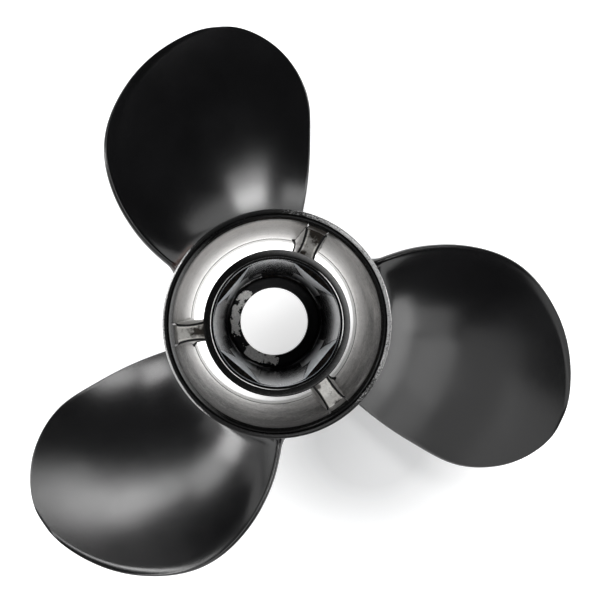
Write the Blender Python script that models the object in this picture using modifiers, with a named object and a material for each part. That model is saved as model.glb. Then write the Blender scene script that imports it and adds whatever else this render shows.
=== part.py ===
"""A right-hand three-blade outboard propeller with its exhaust led out through the hub.

Metres. +Z runs aft along the shaft's axis. The origin is on that axis, in the plane of the
hub's front face, which the propeller stands on. The real propeller is one aluminium casting:
each object here is one part of that casting, and neighbours meet face to face across SEAM.
"""

import math

import bmesh
import bpy
from mathutils import Vector

SEAM = 0.0003
TURN_STEPS = 96
THIRD = math.tau / 3

# Outer barrel, from its front face at z = 0 to its flared aft rim
HUB_LENGTH = 0.115
BARREL_FRONT_RADIUS = 0.0555
BARREL_TAPER = 0.0029
FLARE_START = 0.095
FLARE_RISE = 0.0026
RIM_LIP_RADIUS = 0.0581
RIM_STEP_DEPTH = 0.005
WALL_FRONT_RADIUS = 0.0524
WALL_AFT_RADIUS = 0.0558
FRONT_LIP_RADIUS = 0.0506
FRONT_LIP_DEPTH = 0.005
FRONT_CHAMFER = 0.0008

# Inner hub, with the empty cavity that takes a drive sleeve
INNER_HUB_RADIUS = 0.0397
INNER_HUB_FRONT = 0.005
INNER_HUB_AFT = 0.105
MOUTH_DEPTH = 0.003
MOUTH_RADIUS = 0.0360
CAVITY_MOUTH_RADIUS = 0.0344
CAVITY_FLOOR_RADIUS = 0.0296
CAVITY_FLAT_DISTANCE = 0.0310
CAVITY_FLAT_ANGLE = math.radians(50)
FLOOR_THICKNESS = 0.010
SHAFT_HOLE_RADIUS = 0.0210
FLOOR_STEP_RADIUS = 0.0274
FLOOR_STEP = 0.0010

# Ribs between the inner hub and the barrel
RIB_COUNT = 3
RIB_ANGLE = math.radians(66.5)
RIB_FRONT = 0.012
RIB_AFT = 0.095
RIB_AFT_WAIST = 0.0096
RIB_FRONT_WAIST = 0.0130
RIB_AFT_FILLET = 0.0012
RIB_FRONT_FILLET = 0.0035
RIB_FLARE = 0.0037
RIB_WAIST_PLACE = 0.4
RIB_STEPS = 10
RIB_END_STEPS = 4

# Blades: a helicoid of constant pitch, raked aft
BLADE_COUNT = 3
TIP_RADIUS = 0.1777
PITCH = 0.432
RAKE = 0.12
DATUM_ANGLE = math.radians(112)
DATUM_RADIUS = 0.055
DATUM_HEIGHT = 0.055
# Depth below the tip radius, leading edge's angle and trailing edge's angle, in metres and degrees
BLADE_OUTLINE = (
    (0.000, 100.9, 100.9),
    (0.004, 94.4, 109.5),
    (0.018, 87.0, 122.0),
    (0.038, 81.6, 133.3),
    (0.063, 78.9, 141.7),
    (0.093, 76.3, 148.8),
    (0.122, 75.0, 153.2),
)
ROOT_THICKNESS = 0.0105
TIP_THICKNESS = 0.0034
EDGE_SHARE = 0.36
FACE_SHARE = 0.30
CUP_RISE = 0.0018
CUP_WIDTH = 0.014
ROOT_FILLET = 0.009
EDGE_FILLET = 0.0035
FILLET_STEPS = 5
SPAN_STEPS = 15
EDGE_STEPS = 2
CHORD_STEPS = 11
ROOT_STRIPS = 5
LEAST_DEPTH = 0.00004

BLACK_PAINT = (0.012, 0.012, 0.013)
CAST_GREY = (0.22, 0.21, 0.20)
CAVITY_GREY = (0.05, 0.055, 0.065)


def clear_scene():
    for obj in list(bpy.data.objects):
        bpy.data.objects.remove(obj, do_unlink=True)


def make_collection(name):
    collection = bpy.data.collections.new(name)
    bpy.context.scene.collection.children.link(collection)
    return collection


def make_material(name, colour, roughness, metallic):
    material = bpy.data.materials.new(name)
    material.use_nodes = True
    shader = material.node_tree.nodes["Principled BSDF"]
    shader.inputs["Base Color"].default_value = (*colour, 1.0)
    shader.inputs["Roughness"].default_value = roughness
    shader.inputs["Metallic"].default_value = metallic
    return material


def add_object(name, mesh, collection, material):
    obj = bpy.data.objects.new(name, mesh)
    obj.data.materials.append(material)
    collection.objects.link(obj)
    return obj


def add_cutter(name, mesh, collection):
    cutter = bpy.data.objects.new(name, mesh)
    cutter.hide_render = True
    cutter.display_type = "WIRE"
    collection.objects.link(cutter)
    return cutter


def cut(obj, cutter, operation="DIFFERENCE"):
    boolean = obj.modifiers.new(cutter.name, "BOOLEAN")
    boolean.object = cutter
    boolean.operation = operation
    boolean.solver = "EXACT"


def applied(obj, sharp_degrees=35):
    """Turns the object's modifiers into its mesh and shades it smooth between its sharp edges."""
    bpy.context.view_layer.update()
    graph = bpy.context.evaluated_depsgraph_get()
    mesh = bpy.data.meshes.new_from_object(obj.evaluated_get(graph))
    obj.modifiers.clear()
    obj.data = mesh
    mesh.shade_smooth()
    mesh.set_sharp_from_angle(angle=math.radians(sharp_degrees))
    return obj


def turned(name, profile, collection, material):
    """A ring turned about Z from a closed profile of (radius, z) that runs down its outer side."""
    mesh = bpy.data.meshes.new(name)
    count = len(profile)
    points = [(radius, 0, z) for radius, z in profile]
    mesh.from_pydata(points, [(i, (i + 1) % count) for i in range(count)], [])
    obj = add_object(name, mesh, collection, material)
    screw = obj.modifiers.new("Turn", "SCREW")
    screw.steps = TURN_STEPS
    screw.render_steps = TURN_STEPS
    screw.use_merge_vertices = True
    screw.merge_threshold = 0.00001
    return applied(obj)


def cone_mesh(name, front_radius, aft_radius, front, aft):
    mesh = bpy.data.meshes.new(name)
    shape = bmesh.new()
    bmesh.ops.create_cone(
        shape,
        cap_ends=True,
        segments=TURN_STEPS,
        radius1=front_radius,
        radius2=aft_radius,
        depth=aft - front,
    )
    bmesh.ops.translate(shape, verts=shape.verts, vec=(0, 0, (front + aft) / 2))
    shape.to_mesh(mesh)
    shape.free()
    return mesh


def barrel_radius(z):
    """Outer radius of the barrel, which tapers forward and flares at its aft end."""
    taper = BARREL_TAPER * min(z, FLARE_START) / FLARE_START
    flare = max(z - FLARE_START, 0) / (HUB_LENGTH - FLARE_START)
    return BARREL_FRONT_RADIUS + taper + FLARE_RISE * flare**1.5


def wall_radius(z):
    """Inner radius of the barrel."""
    run = (z - FRONT_LIP_DEPTH) / (HUB_LENGTH - RIM_STEP_DEPTH - FRONT_LIP_DEPTH)
    return WALL_FRONT_RADIUS + (WALL_AFT_RADIUS - WALL_FRONT_RADIUS) * run


def build_barrel(collection, material):
    aft = FLARE_START - SEAM
    turned(
        "hub_barrel",
        [
            (barrel_radius(aft), aft),
            (barrel_radius(FRONT_CHAMFER), FRONT_CHAMFER),
            (BARREL_FRONT_RADIUS - FRONT_CHAMFER, 0),
            (FRONT_LIP_RADIUS, 0),
            (FRONT_LIP_RADIUS, FRONT_CHAMFER),
            (wall_radius(FRONT_LIP_DEPTH), FRONT_LIP_DEPTH),
            (wall_radius(aft), aft),
        ],
        collection,
        material,
    )


def build_flare_ring(collection, material):
    """The flared aft end of the barrel, with a rounded rim and a step inside it."""
    rim_radius = barrel_radius(HUB_LENGTH)
    round_radius = (rim_radius - RIM_LIP_RADIUS) / 2
    centre = (rim_radius - round_radius, HUB_LENGTH - round_radius)
    rim = []
    for step in range(7):
        angle = math.pi - step * math.pi / 6
        along, up = math.cos(angle), math.sin(angle)
        rim.append((centre[0] + round_radius * along, centre[1] + round_radius * up))
    outer = []
    for step in range(1, 6):
        z = centre[1] + (FLARE_START - centre[1]) * step / 5
        outer.append((barrel_radius(z), z))
    step_z = HUB_LENGTH - RIM_STEP_DEPTH
    inner = [
        (wall_radius(FLARE_START), FLARE_START),
        (wall_radius(step_z), step_z),
        (RIM_LIP_RADIUS - 0.0006, centre[1] - 0.0014),
    ]
    turned("flare_ring", rim + outer + inner, collection, material)


def build_inner_hub(collection, cutters, material):
    """The tube round the cavity: a tapered bore with four flats on it."""
    aft = INNER_HUB_AFT - MOUTH_DEPTH - SEAM
    hub = add_object(
        "inner_hub",
        cone_mesh("inner_hub", INNER_HUB_RADIUS, INNER_HUB_RADIUS, INNER_HUB_FRONT, aft),
        collection,
        material,
    )
    slope = (CAVITY_MOUTH_RADIUS - CAVITY_FLOOR_RADIUS) / (
        aft - INNER_HUB_FRONT - FLOOR_THICKNESS
    )
    over = 0.002
    bore = add_cutter(
        "cavity_bore",
        cone_mesh(
            "cavity_bore",
            CAVITY_FLOOR_RADIUS,
            CAVITY_MOUTH_RADIUS + slope * over,
            INNER_HUB_FRONT + FLOOR_THICKNESS,
            aft + over,
        ),
        cutters,
    )
    square_mesh = bpy.data.meshes.new("cavity_square")
    shape = bmesh.new()
    bmesh.ops.create_cube(shape, size=2 * CAVITY_FLAT_DISTANCE)
    for vert in shape.verts:
        vert.co.z = math.copysign(2 * HUB_LENGTH, vert.co.z)
    shape.to_mesh(square_mesh)
    shape.free()
    square = add_cutter("cavity_square", square_mesh, cutters)
    square.rotation_euler.z = CAVITY_FLAT_ANGLE
    cut(bore, square, "INTERSECT")
    seat = add_cutter(
        "floor_seat",
        cone_mesh(
            "floor_seat",
            CAVITY_FLOOR_RADIUS,
            CAVITY_FLOOR_RADIUS,
            INNER_HUB_FRONT - over,
            INNER_HUB_FRONT + FLOOR_THICKNESS + over / 2,
        ),
        cutters,
    )
    cut(hub, bore)
    cut(hub, seat)
    applied(hub)


def build_mouth_ring(collection, material):
    """The machined aft end of the inner hub, round the wider mouth of the cavity."""
    front = INNER_HUB_AFT - MOUTH_DEPTH
    chamfer = 0.0005
    turned(
        "mouth_ring",
        [
            (INNER_HUB_RADIUS - chamfer, INNER_HUB_AFT),
            (INNER_HUB_RADIUS, INNER_HUB_AFT - chamfer),
            (INNER_HUB_RADIUS, front),
            (MOUTH_RADIUS, front),
            (MOUTH_RADIUS, INNER_HUB_AFT - chamfer),
            (MOUTH_RADIUS + chamfer, INNER_HUB_AFT),
        ],
        collection,
        material,
    )


def build_thrust_floor(collection, material):
    """The floor of the cavity, with the hole that the shaft passes through."""
    aft = INNER_HUB_FRONT + FLOOR_THICKNESS
    rim = CAVITY_FLOOR_RADIUS - SEAM
    turned(
        "thrust_floor",
        [
            (rim, aft - FLOOR_STEP),
            (rim, INNER_HUB_FRONT),
            (SHAFT_HOLE_RADIUS, INNER_HUB_FRONT),
            (SHAFT_HOLE_RADIUS, aft),
            (FLOOR_STEP_RADIUS, aft),
            (FLOOR_STEP_RADIUS + FLOOR_STEP / 2, aft - FLOOR_STEP),
        ],
        collection,
        material,
    )


def fillet_growth(from_end, fillet):
    """How much a fillet widens each side of the rib, this far from the wall it runs into."""
    drop = max(fillet - from_end, 0)
    return fillet - math.sqrt(fillet**2 - drop**2)


def rib_loop(z, waist, fillet):
    """The rib's outline at one height, round its whole edge."""
    inner = INNER_HUB_RADIUS + SEAM
    outer = wall_radius(z) - SEAM
    sides = {1: [], -1: []}
    for side in sides:
        for step in range(RIB_STEPS + 1):
            share = (1 - math.cos(math.pi * step / RIB_STEPS)) / 2
            radius = inner + (outer - inner) * share
            half = waist / 2 + RIB_FLARE * (share - RIB_WAIST_PLACE) ** 2
            half += fillet_growth(min(radius - inner, outer - radius), fillet)
            angle = side * half / radius
            point = Vector((radius * math.cos(angle), radius * math.sin(angle), z))
            sides[side].append(point)
    outer_end = end_arc(sides[-1][-1], sides[1][-1], outer)
    inner_end = end_arc(sides[1][0], sides[-1][0], inner)
    return sides[-1] + outer_end + sides[1][::-1] + inner_end


def end_arc(start, end, radius):
    """Points of an arc round the axis, between the two corners at one end of a rib."""
    points = []
    for step in range(1, RIB_END_STEPS):
        point = start.lerp(end, step / RIB_END_STEPS)
        flat = math.hypot(point.x, point.y)
        points.append(Vector((point.x * radius / flat, point.y * radius / flat, point.z)))
    return points


def build_ribs(collection, material):
    loops = [
        rib_loop(RIB_FRONT, RIB_FRONT_WAIST, RIB_FRONT_FILLET),
        rib_loop(RIB_AFT, RIB_AFT_WAIST, RIB_AFT_FILLET),
    ]
    mesh = bpy.data.meshes.new("rib")
    shape = bmesh.new()
    rings = [[shape.verts.new(point) for point in loop] for loop in loops]
    count = len(rings[0])
    for i in range(count):
        j = (i + 1) % count
        shape.faces.new((rings[0][i], rings[0][j], rings[1][j], rings[1][i]))
    shape.faces.new(rings[0][::-1])
    shape.faces.new(rings[1])
    bmesh.ops.triangulate(shape, faces=shape.faces)
    bmesh.ops.recalc_face_normals(shape, faces=shape.faces)
    shape.to_mesh(mesh)
    shape.free()
    mesh.shade_smooth()
    mesh.set_sharp_from_angle(angle=math.radians(35))
    for number in range(RIB_COUNT):
        rib = add_object(f"rib_{number + 1}", mesh, collection, material)
        rib.rotation_euler.z = RIB_ANGLE + number * THIRD


def smooth_value(knots, values, at):
    """Catmull-Rom interpolation through the values at the knots."""
    last = len(knots) - 1
    at = min(max(at, knots[0]), knots[-1])
    i = max(k for k in range(last) if knots[k] <= at)
    run = knots[i + 1] - knots[i]
    slopes = []
    for k in (i, i + 1):
        before, after = max(k - 1, 0), min(k + 1, last)
        slopes.append((values[after] - values[before]) / (knots[after] - knots[before]))
    t = (at - knots[i]) / run
    rise = (2 * t**3 - 3 * t**2 + 1) * values[i] + (3 * t**2 - 2 * t**3) * values[i + 1]
    return rise + run * ((t**3 - 2 * t**2 + t) * slopes[0] + (t**3 - t**2) * slopes[1])


def edge_angles(radius):
    """Angles of the leading and the trailing edge at a radius, in radians."""
    knots = [math.sqrt(depth) for depth, _, _ in BLADE_OUTLINE]
    at = math.sqrt(max(TIP_RADIUS - radius, 0))
    lead = smooth_value(knots, [row[1] for row in BLADE_OUTLINE], at)
    trail = smooth_value(knots, [row[2] for row in BLADE_OUTLINE], at)
    return math.radians(lead), math.radians(trail)


def helicoid(radius, angle):
    """A point of the blade's middle surface, and the surface's normal there, which faces aft."""
    lift = PITCH / math.tau
    z = DATUM_HEIGHT + lift * (angle - DATUM_ANGLE) + RAKE * (radius - DATUM_RADIUS)
    out = Vector((math.cos(angle), math.sin(angle), 0))
    round_way = Vector((-math.sin(angle), math.cos(angle), 0))
    along_radius = out + Vector((0, 0, RAKE))
    along_helix = radius * round_way + Vector((0, 0, lift))
    return radius * out + Vector((0, 0, z)), along_radius.cross(along_helix).normalized()


def rounding(distance, radius):
    """Share of the full thickness that is left this close to a round edge."""
    if distance >= radius:
        return 1.0
    return math.sqrt(max(1 - (1 - distance / radius) ** 2, 0))


def chord_places(chord, edge):
    """Distances along the chord, set close together where the two edges are rounded."""
    turn = [edge * (1 - math.cos(math.pi / 2 * k / EDGE_STEPS)) for k in range(EDGE_STEPS + 1)]
    flat = chord - 2 * edge
    middle = [edge + flat * k / CHORD_STEPS for k in range(1, CHORD_STEPS)]
    return turn + middle + [chord - place for place in reversed(turn)]


def blade_loop(height, side_growth, edge_growth):
    """One closed section: the face that looks aft, and then the back of the blade."""
    radius = barrel_radius(DATUM_HEIGHT) + height
    lead, trail = edge_angles(radius)
    stretch = math.hypot(radius, PITCH / math.tau)
    chord = stretch * (trail - lead) + 2 * edge_growth
    start = lead - edge_growth / stretch
    share = min(max((radius - DATUM_RADIUS) / (TIP_RADIUS - DATUM_RADIUS), 0), 1)
    thickest = ROOT_THICKNESS + (TIP_THICKNESS - ROOT_THICKNESS) * share**0.8
    blunt = EDGE_SHARE + (1 - EDGE_SHARE) * share
    edge = min(thickest * blunt / 2 + side_growth, chord * 0.45)
    tip = rounding(TIP_RADIUS - radius, TIP_THICKNESS / 2)
    face, back = [], []
    for place in chord_places(chord, edge):
        point, normal = helicoid(radius, start + place / stretch)
        run = place / chord
        swell = blunt + (1 - blunt) * (1 - (2 * run - 0.9) ** 2 / 1.21)
        thick = (thickest * swell * tip + 2 * side_growth) * rounding(
            min(place, chord - place), edge
        )
        cup = max(1 - (chord - place) / CUP_WIDTH, 0) ** 2 * CUP_RISE * min(chord / 0.08, 1)
        aft_share = FACE_SHARE + (0.5 - FACE_SHARE) * share
        face.append(seated(point + normal * (cup + aft_share * thick), radius, height))
        back.append(seated(point + normal * (cup - (1 - aft_share) * thick), radius, height))
    return face, back


def seated(point, radius, height):
    """Moves a section's point along its radius, so that sections near the root follow the barrel."""
    follow = max(1 - height / 0.04, 0)
    wanted = radius + follow * (barrel_radius(point.z) + height - radius)
    flat = math.hypot(point.x, point.y)
    return Vector((point.x * wanted / flat, point.y * wanted / flat, point.z))


def blade_loops():
    loops = []
    for step in range(FILLET_STEPS + 1):
        angle = math.pi / 2 * step / FILLET_STEPS
        height = SEAM + ROOT_FILLET * (1 - math.cos(angle))
        growth = 1 - math.sin(angle)
        loops.append(blade_loop(height, ROOT_FILLET * growth, EDGE_FILLET * growth))
    root_radius = barrel_radius(DATUM_HEIGHT)
    first = math.sqrt(TIP_RADIUS - root_radius - SEAM - ROOT_FILLET)
    last = math.sqrt(LEAST_DEPTH)
    for step in range(1, SPAN_STEPS + 1):
        depth = (first + (last - first) * step / SPAN_STEPS) ** 2
        loops.append(blade_loop(TIP_RADIUS - root_radius - depth, 0, 0))
    return loops


def root_strip(face, back, share):
    """A line of points across the blade's root, laid on the barrel between its face and back."""
    line = []
    for a, b in zip(face, back):
        middle = a.lerp(b, share)
        flat = math.hypot(middle.x, middle.y)
        wanted = barrel_radius(middle.z) + SEAM
        line.append(Vector((middle.x * wanted / flat, middle.y * wanted / flat, middle.z)))
    return line


def skin(shape, rows):
    """Quads between neighbouring rows of vertices; a quad with two corners alike is a triangle."""
    for near, far in zip(rows, rows[1:]):
        for i in range(len(near) - 1):
            corners = []
            for vert in (near[i], near[i + 1], far[i + 1], far[i]):
                if vert not in corners:
                    corners.append(vert)
            if len(corners) > 2:
                shape.faces.new(corners)


def build_blades(collection, material):
    mesh = bpy.data.meshes.new("blade")
    shape = bmesh.new()
    loops = blade_loops()
    face_rows, back_rows = [], []
    for face, back in loops:
        face_row = [shape.verts.new(point) for point in face]
        inner = [shape.verts.new(point) for point in back[1:-1]]
        face_rows.append(face_row)
        back_rows.append([face_row[0]] + inner + [face_row[-1]])
    root_rows = [face_rows[0]]
    for strip in range(1, ROOT_STRIPS):
        line = root_strip(*loops[0], strip / ROOT_STRIPS)[1:-1]
        ends = (face_rows[0][0], face_rows[0][-1])
        root_rows.append([ends[0]] + [shape.verts.new(point) for point in line] + [ends[1]])
    root_rows.append(back_rows[0])
    skin(shape, face_rows)
    skin(shape, back_rows)
    skin(shape, root_rows)
    skin(shape, [face_rows[-1], back_rows[-1]])
    bmesh.ops.triangulate(shape, faces=shape.faces)
    bmesh.ops.recalc_face_normals(shape, faces=shape.faces)
    shape.to_mesh(mesh)
    shape.free()
    mesh.shade_smooth()
    mesh.set_sharp_from_angle(angle=math.radians(60))
    for number in range(BLADE_COUNT):
        blade = add_object(f"blade_{number + 1}", mesh, collection, material)
        blade.rotation_euler.z = number * THIRD


def main():
    clear_scene()
    parts = make_collection("outboard_propeller")
    cutters = make_collection("cutters")
    paint = make_material("black_paint", BLACK_PAINT, 0.32, 0.0)
    cast = make_material("cast_wall", CAST_GREY, 0.55, 0.3)
    cavity = make_material("cavity_wall", CAVITY_GREY, 0.4, 0.3)
    build_barrel(parts, paint)
    build_flare_ring(parts, paint)
    build_inner_hub(parts, cutters, cavity)
    build_mouth_ring(parts, paint)
    build_thrust_floor(parts, cavity)
    build_ribs(parts, cast)
    build_blades(parts, paint)


main()
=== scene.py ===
"""The look of a black-painted outboard propeller, seen from aft on a pale floor.

Metres. +Z runs aft along the shaft's axis from the hub's front face, which lies just over the
floor. Each piece is a fine skin over the solids that it replaces. The main dimensions are the
solids' own, and the rim, the mouth and the blades' trailing edges are shaped more finely.
"""

import math

import bmesh
import bpy
from mathutils import Matrix, Vector


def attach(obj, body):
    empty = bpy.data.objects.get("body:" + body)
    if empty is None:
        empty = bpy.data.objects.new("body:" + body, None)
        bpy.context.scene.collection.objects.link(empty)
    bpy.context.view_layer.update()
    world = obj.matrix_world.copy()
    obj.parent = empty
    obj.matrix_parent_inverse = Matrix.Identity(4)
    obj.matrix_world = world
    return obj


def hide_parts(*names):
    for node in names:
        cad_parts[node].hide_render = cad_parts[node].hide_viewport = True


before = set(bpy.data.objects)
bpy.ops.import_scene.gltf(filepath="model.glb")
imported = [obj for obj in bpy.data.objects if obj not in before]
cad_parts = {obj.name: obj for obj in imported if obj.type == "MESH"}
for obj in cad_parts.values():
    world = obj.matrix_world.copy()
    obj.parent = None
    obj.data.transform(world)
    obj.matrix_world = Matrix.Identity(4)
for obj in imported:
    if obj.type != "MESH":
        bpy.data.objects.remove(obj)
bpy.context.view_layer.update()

THIRD = math.tau / 3

# Outer barrel
HUB_LENGTH = 0.115
BARREL_FRONT_RADIUS = 0.0555
BARREL_TAPER = 0.0029
FLARE_START = 0.095
FLARE_RISE = 0.0026
FLARE_POWER = 1.5
WALL_FRONT_RADIUS = 0.0524
WALL_AFT_RADIUS = 0.0558
FRONT_FACE_RADIUS = 0.0526
FRONT_CHAMFER = 0.0008
BARREL_COLUMNS = 330
BARREL_SIDE_ROWS = 70
BARREL_WALL_ROWS = 60

# The rim at the barrel's aft end: a low crown, a tight round edge, and a step inside
RIM_CROWN_START = 0.0587
RIM_CROWN_RADIUS = 0.0048
RIM_CROWN_FIRST = 92
RIM_CROWN_TILT = 16
RIM_EDGE_RADIUS = 0.0013
RIM_STEP_DEPTH = 0.005
RIM_RIDGE_RADIUS = 0.0575
# The ridge inside the crown: finish, distance out from its crest, and depth below the rim
RIDGE_PROFILE = (
    ("ridge", -0.0016, 0.0047),
    ("ridge", -0.0009, 0.0011),
    ("ridge", -0.0007, 0.0007),
    ("ridge", -0.0002, 0.00028),
    ("ridge", 0.0, 0.0002),
    ("ridge", 0.0002, 0.00028),
    ("ridge", 0.0007, 0.0007),
    ("ridge", 0.00085, 0.0011),
    ("paint", 0.0010, 0.0011),
)

FRONT_LIP_RADIUS = 0.0506
FRONT_LIP_DEPTH = 0.005
# The front lip's inner side, up to its groove: finish, distance out from its radius, and height
LIP_PROFILE = (
    ("paint", 0.0003, 0.0),
    ("wall", 0.0, 0.0004),
    ("lip", 0.0, 0.0010),
    ("lip", 0.0002, 0.0016),
    ("lip", 0.0013, 0.0045),
    ("paint", 0.0015, 0.0048),
)

# The low pads on the barrel's wall, where the ribs' outlines run on to the rim
PAD_RISE = 0.0006
PAD_HALF_WIDTH = 0.0059
PAD_EDGE = 0.0005
PAD_EDGE_REACH = (0.0050, 0.0063)
PAD_RUN_UP = 0.004
PAD_START = 0.001
PAD_COLUMNS = 7

# Inner hub and its end ring
INNER_HUB_RADIUS = 0.0397
INNER_HUB_FRONT = 0.005
INNER_HUB_AFT = 0.105
HUB_BEVEL = 0.0004
HUB_PAINTED_END = 0.008
RING_ROUND = 0.0006
RING_CROWN = 0.00015
MOUTH_DEPTH = 0.003
MOUTH_RADIUS = 0.0356
MOUTH_EDGE = 0.00036

# The drive cavity: a drafted round wall with four flats, whose tops are shelves
CAVITY_MOUTH_RADIUS = 0.0344
CAVITY_FLOOR_RADIUS = 0.0296
CAVITY_FLAT_DISTANCE = 0.0310
CAVITY_FLAT_ANGLE = math.radians(50)
FLAT_FOOT = 0.045
FLAT_FOOT_TURN = math.radians(19)
FLAT_EDGE = 0.0003
LEAST_FLAT = 0.00015
SHELF_DEPTH = 0.0030
SHELF_REACH = 0.0035
SHELF_ROWS = 5
CAVITY_FLOOR = 0.015
SHAFT_HOLE_RADIUS = 0.0210
FLOOR_STEP_RADIUS = 0.0274
FLOOR_STEP = 0.0010
FLAT_COLUMNS = 28
ARC_COLUMNS = 36

# Ribs
RIB_COUNT = 3
RIB_ANGLE = math.radians(66.5)
RIB_FRONT = 0.012
RIB_AFT = 0.095
RIB_AFT_WAIST = 0.0096
RIB_FRONT_WAIST = 0.0130
RIB_AFT_FILLET = 0.0012
RIB_FRONT_FILLET = 0.0035
FILLET_SHARE = 0.6
RIB_FLARE = 0.0037
RIB_WAIST_PLACE = 0.4
RIB_EDGE = 0.0009
RIB_LIP = 0.0018
RIB_LIP_LENGTH = 0.008
RIB_SINK = 0.0003
RIB_STATIONS = 34
RIB_SIDE_STEPS = 30
RIB_EDGE_STEPS = 6
RIB_CROSS_STEPS = 10
# What each vertex of a rib carries: its share of the way out, its place across and how dark its edge is
RIB_MARKS = ("rib_share", "rib_across", "rib_edge")
# Each rib's lightness, which paints how brightly that rib is lit
RIB_PAINTED_LIGHT = (0.34, 0.54, 0.84)
# Each rib's stains: share of the way out, place across, reach along, reach across and strength
RIB_STAINS = (
    ((1.05, -0.1, 0.52, 1.6, 0.97), (0.12, 0.45, 0.13, 0.50, 0.95)),
    ((0.10, 0.05, 0.50, 0.95, 0.95), (0.98, -0.1, 0.05, 0.6, 0.5)),
    ((1.00, 0.25, 0.14, 0.60, 0.97), (0.10, -0.7, 0.14, 0.50, 0.8)),
)

# Blades
BLADE_COUNT = 3
TIP_RADIUS = 0.17747
PITCH = 0.432
RAKE = 0.12
DATUM_ANGLE = math.radians(112)
DATUM_RADIUS = 0.055
DATUM_HEIGHT = 0.055
# Depth below the tip radius, leading edge's angle and trailing edge's angle, in metres and degrees
BLADE_OUTLINE = (
    (0.000, 100.9, 100.9),
    (0.004, 94.4, 109.5),
    (0.018, 87.0, 122.0),
    (0.038, 81.6, 133.3),
    (0.063, 78.9, 141.7),
    (0.093, 76.3, 148.8),
    (0.122, 75.0, 153.2),
)
ROOT_THICKNESS = 0.0105
TIP_THICKNESS = 0.0034
EDGE_SHARE = 0.36
FACE_SHARE = 0.30
CUP_RISE = 0.0010
CUP_WIDTH = 0.012
CUP_FULL_CHORD = 0.08
ROOT_FILLET = 0.009
EDGE_FILLET = 0.0035
ROOT_SINK = 0.00003
ROOT_FOLLOW = 0.04
FILLET_STEPS = 14
SPAN_STEPS = 120
EDGE_STEPS = 8
CHORD_STEPS = 96
ROOT_STRIPS = 6
LEAST_DEPTH = 0.00004

# Paints, castings and stains, as linear RGB
SATIN_BLACK = (0.0028, 0.0028, 0.0031)
RIM_BLACK = (0.002, 0.002, 0.0021)
DULL_BLACK = (0.003, 0.003, 0.003)
BLUISH_BLACK = (0.003, 0.003, 0.004)
DUST_GREY = (0.03, 0.03, 0.03)
SHEEN_BROWN = (0.060, 0.030, 0.022)
CASTING_GREYS = ((0.66, 0.64, 0.62), (0.54, 0.52, 0.50))
RIB_GREYS = ((1.0, 0.99, 0.95), (0.76, 0.74, 0.70))
# Near white: turned metal and painted light together
LIT_TURNED_METAL = ((0.96, 0.96, 0.95), (0.88, 0.88, 0.87))
LIT_WORN_METAL = ((0.60, 0.59, 0.57), (0.97, 0.96, 0.94))
WALL_SOOT = (0.016, 0.012, 0.008)
RIB_SOOT = (0.014, 0.010, 0.007)
# Pale and dull paint of the cavity's round wall, of its flats and of their edges, whose line is a
# painted highlight
ROUND_TINTS = ((0.40, 0.43, 0.47), (0.26, 0.28, 0.31))
FLAT_TINTS = ((0.66, 0.70, 0.75), (0.46, 0.49, 0.53))
EDGE_HIGHLIGHT_TINTS = ((0.62, 0.66, 0.70), (0.45, 0.48, 0.52))

# A painted brownish reflection at the first blade's root, soot behind the first rib, and the centre of
# the floor's painted shadow
BROWN_SHEEN_PLACE = (-0.0528, 0.0362, 0.096)
WALL_STAIN = (0.0222, 0.0510, 0.108)
SHADE_PLACE = (0.062, -0.070, 0.0)
# Azimuths about which the cavity's floor has pale patches of grey casting with painted light on them, in
# degrees
FLOOR_LIT_PATCHES = (140, 150, 160, 170, 180, 190, 230, 240, 250, 260, 268)
FLOOR_PATCH_RADIUS = 0.0240
# Noise on the steep walls is drawn out along the shaft, as the wear on them is
ALONG_SHAFT = (1.0, 1.0, 0.1)

FLOOR_REACH = 8.0
FLOOR_DROP = 0.0002

# The camera, as fitted to the photograph
CAMERA_PLACE = Vector((-0.01093, 0.00670, 0.675))
CAMERA_TURN = 0.0237
CAMERA_NOD = 0.0381
CAMERA_LENS = 63.37
CAMERA_SHIFT = (0.0304, -0.0494)

STUDIO_CENTRE = Vector((0, 0, 0.06))
STUDIO_RADIUS = 6.0
# Name, one end and the other end as azimuth and angle from overhead, width in degrees, radiance
PANELS = (
    ("east", (5, 84), (20, 84), 18, 4.5),
    ("east_top", (8, 70), (8, 83), 8, 1.4),
    ("east_low", (6, 88), (20, 88), 12, 12.0),
    ("east_wide", (22, 87), (44, 87), 10, 2.0),
    ("east_back", (338, 87), (358, 87), 10, 4.2),
    ("key_1", (130, 38), (140, 45), 7, 5.0),
    ("key_3", (131, 48), (141, 48), 8, 4.8),
    ("key_4", (140, 45), (147, 54), 7, 8.5),
    ("key_5", (140, 54), (150, 54), 8, 5.5),
    ("key_6", (147, 55), (152, 64), 7, 8.5),
    ("key_7", (155, 64), (160, 75), 9, 6.5),
    ("key_8", (161, 76), (163, 92), 9, 11.0),
    ("north_top", (108, 62), (110, 76), 8, 9.0),
    ("north", (113, 78), (114, 92), 9, 8.8),
    ("north_lamp", (83, 26), (83, 46), 24, 2.5),
    ("east_lamp", (45, 24), (45, 40), 20, 3.5),
    ("west_low", (146, 87), (182, 87), 8, 1.2),
    ("west_high", (170, 76), (184, 76), 10, 1.4),
    ("west_top", (150, 38), (180, 38), 24, 0.6),
    ("west_gap", (190, 80), (214, 80), 18, 1.5),
    ("west_lamp", (204, 26), (204, 46), 24, 3.0),
    ("south_low", (222, 87), (240, 87), 12, 3.1),
    ("south_low_2", (240, 87), (284, 87), 12, 4.2),
    ("south_middle", (224, 72), (246, 72), 14, 2.1),
    ("south_middle_2", (246, 72), (268, 72), 14, 2.7),
    ("south_side", (273, 67), (275, 83), 10, 1.8),
    ("south_high", (230, 58), (274, 58), 14, 1.0),
    ("south_top", (234, 45), (266, 45), 14, 1.3),
    ("lamp", (295, 17), (295, 32), 22, 11.5),
)


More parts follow.
